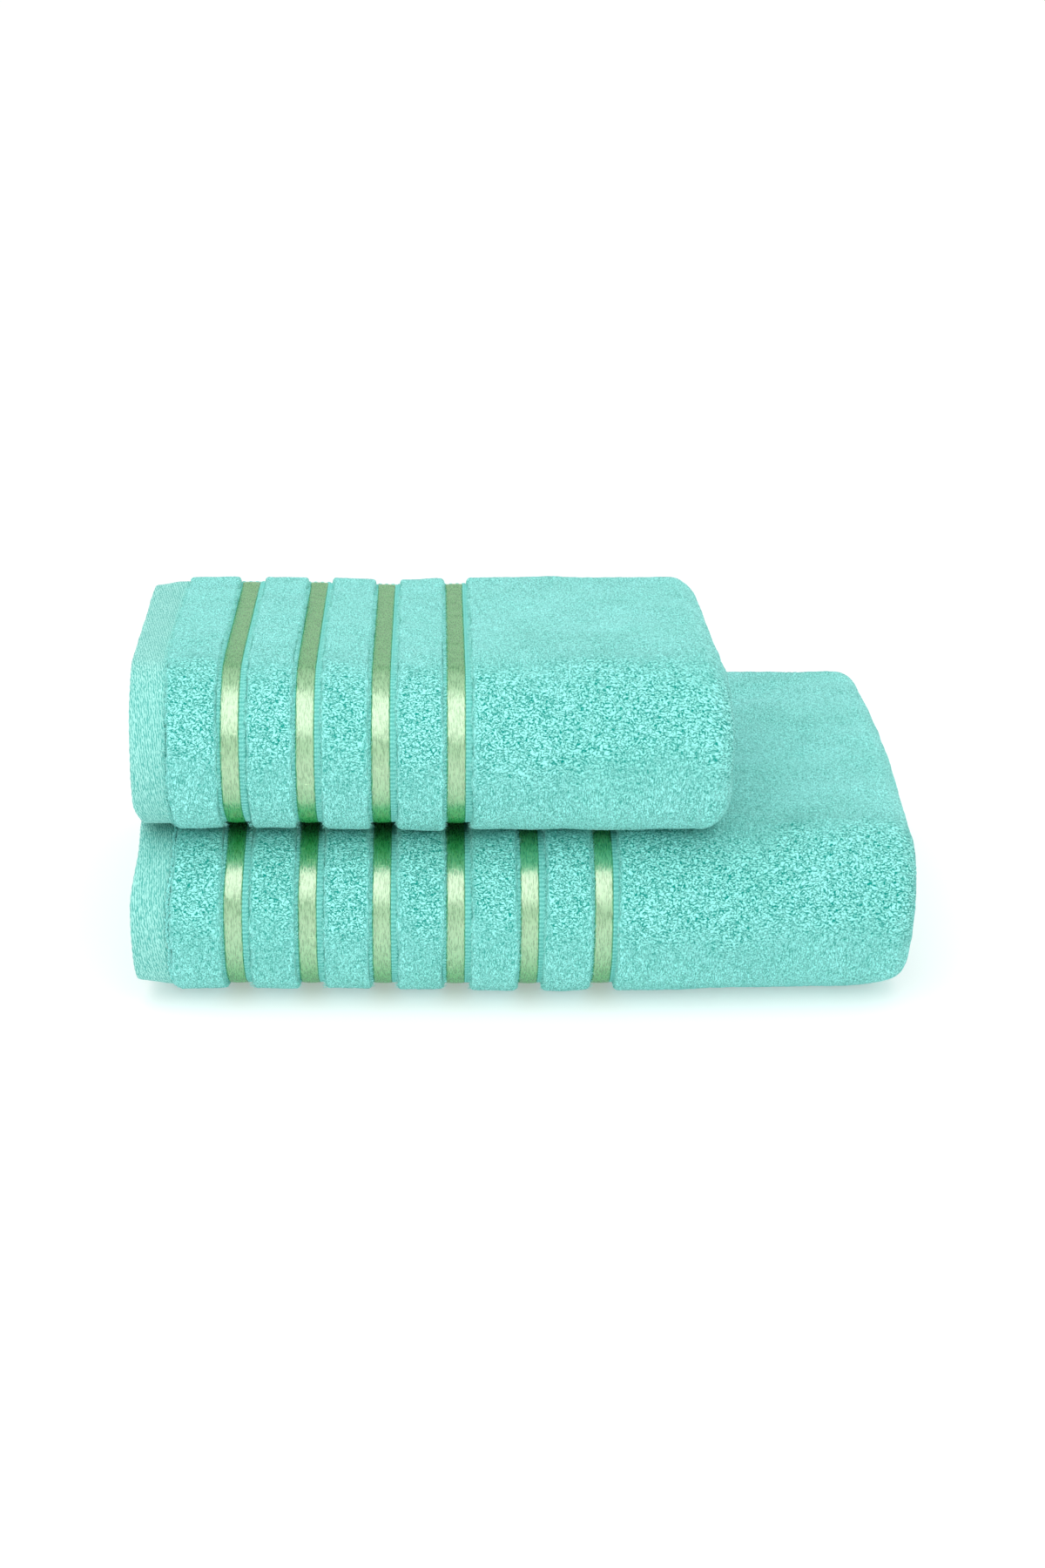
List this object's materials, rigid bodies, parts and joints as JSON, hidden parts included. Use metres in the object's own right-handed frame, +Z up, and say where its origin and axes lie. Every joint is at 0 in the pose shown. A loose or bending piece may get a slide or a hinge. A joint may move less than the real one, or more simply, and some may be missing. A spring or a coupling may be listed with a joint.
{
  "type": "folded towel set",
  "caption": "Folded terry bath towel with a smaller hand towel on it, in aqua, with satin bands between raised stripes.",
  "frame": {"origin": "middle of the bath towel's underside, which is also under the middle of the whole stack's box", "axes": "+X from the end hems towards the lengthwise folds, -Y is the front, where the full-height folds are, +Z up"},
  "size_m": [0.352, 0.258, 0.1593],
  "materials": {
    "terry_pile": "looped terry, matt",
    "ground_weave": "flat ribbed weave, matt",
    "hem_weave": "flat twill-like weave, matt",
    "satin_band": "satin weave, glossy",
    "stitching": "sewing thread"
  },
  "bodies": {
    "bath_towel": {"bath_ground_cloth": "ground_weave", "bath_pile_field": "terry_pile", "bath_pile_stripe_1": "terry_pile", "bath_pile_stripe_2": "terry_pile", "bath_pile_stripe_3": "terry_pile", "bath_pile_stripe_4": "terry_pile", "bath_pile_stripe_5": "terry_pile", "bath_pile_stripe_6": "terry_pile", "bath_satin_band_1": "satin_band", "bath_satin_band_2": "satin_band", "bath_satin_band_3": "satin_band", "bath_satin_band_4": "satin_band", "bath_satin_band_5": "satin_band", "bath_satin_band_6": "satin_band", "bath_end_hem": "hem_weave", "bath_far_end_hem": "hem_weave", "bath_outer_side_hem": "hem_weave", "bath_inner_side_hem": "hem_weave", "bath_hem_stitches": "stitching"},
    "hand_towel": {"hand_ground_cloth": "ground_weave", "hand_pile_field": "terry_pile", "hand_pile_stripe_1": "terry_pile", "hand_pile_stripe_2": "terry_pile", "hand_pile_stripe_3": "terry_pile", "hand_pile_stripe_4": "terry_pile", "hand_satin_band_1": "satin_band", "hand_satin_band_2": "satin_band", "hand_satin_band_3": "satin_band", "hand_satin_band_4": "satin_band", "hand_end_hem": "hem_weave", "hand_far_end_hem": "hem_weave", "hand_outer_side_hem": "hem_weave", "hand_inner_side_hem": "hem_weave", "hand_hem_stitches": "stitching"}
  },
  "joints": [
    {"name": "hand_towel_lift", "type": "slide", "parent": "bath_towel", "child": "hand_towel", "axis": [0, 0, 1], "range_m": [0, 0.15]}
  ]
}
